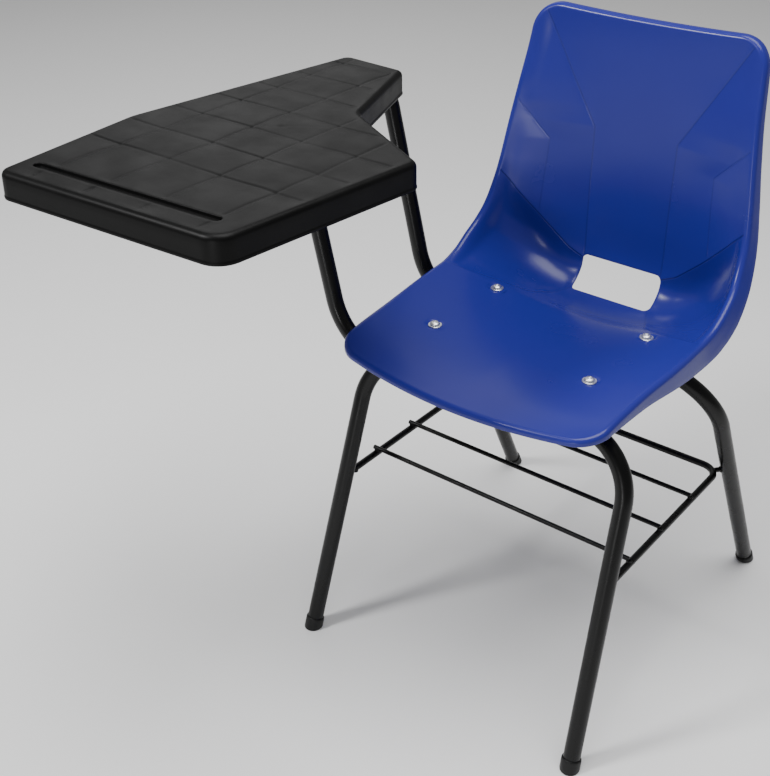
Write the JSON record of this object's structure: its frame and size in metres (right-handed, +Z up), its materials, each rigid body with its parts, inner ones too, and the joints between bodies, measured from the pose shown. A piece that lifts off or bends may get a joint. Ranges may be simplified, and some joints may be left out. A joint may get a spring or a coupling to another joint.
{
  "type": "student desk chair",
  "caption": "School chair: a moulded plastic bucket shell on a bent steel tube frame, with a wire book rack under the seat and a fixed writing tablet at the sitter's right.",
  "frame": {"origin": "on the floor under the middle of the whole chair's box, writing tablet included", "axes": "+Z up, -Y the way the sitter faces, +X to the sitter's left"},
  "size_m": [0.6534, 0.8088, 0.8139],
  "materials": {
    "black_powder_coat": "satin",
    "blue_polypropylene": "semi-gloss",
    "black_polypropylene": "fine texture",
    "black_end_plastic": "matte",
    "zinc_plated_steel": "bright zinc"
  },
  "bodies": {
    "root": {"front_leg_frame": "black_powder_coat", "rear_leg_frame": "black_powder_coat", "seat_rail_left": "black_powder_coat", "seat_rail_right": "black_powder_coat", "tablet_support_front": "black_powder_coat", "tablet_support_rear": "black_powder_coat", "book_rack_frame": "black_powder_coat", "book_rack_wire_1": "black_powder_coat", "book_rack_wire_2": "black_powder_coat", "book_rack_wire_3": "black_powder_coat", "seat_shell": "blue_polypropylene", "writing_tablet": "black_polypropylene", "foot_cap_front_left": "black_end_plastic", "foot_cap_front_right": "black_end_plastic", "foot_cap_rear_left": "black_end_plastic", "foot_cap_rear_right": "black_end_plastic", "rail_plug_front_left": "black_end_plastic", "rail_plug_front_right": "black_end_plastic", "rail_plug_rear_left": "black_end_plastic", "rail_plug_rear_right": "black_end_plastic", "support_plug_front_inner": "black_end_plastic", "support_plug_front_outer": "black_end_plastic", "support_plug_rear_inner": "black_end_plastic", "support_plug_rear_outer": "black_end_plastic", "seat_bolt_front_left": "zinc_plated_steel", "seat_bolt_front_right": "zinc_plated_steel", "seat_bolt_rear_left": "zinc_plated_steel", "seat_bolt_rear_right": "zinc_plated_steel", "seat_washer_front_left": "zinc_plated_steel", "seat_washer_front_right": "zinc_plated_steel", "seat_washer_rear_left": "zinc_plated_steel", "seat_washer_rear_right": "zinc_plated_steel", "rivet_nut_front_left": "zinc_plated_steel", "rivet_nut_front_right": "zinc_plated_steel", "rivet_nut_rear_left": "zinc_plated_steel", "rivet_nut_rear_right": "zinc_plated_steel", "tablet_screw_front_near": "zinc_plated_steel", "tablet_screw_front_far": "zinc_plated_steel", "tablet_screw_rear_near": "zinc_plated_steel", "tablet_screw_rear_far": "zinc_plated_steel"}
  },
  "joints": []
}
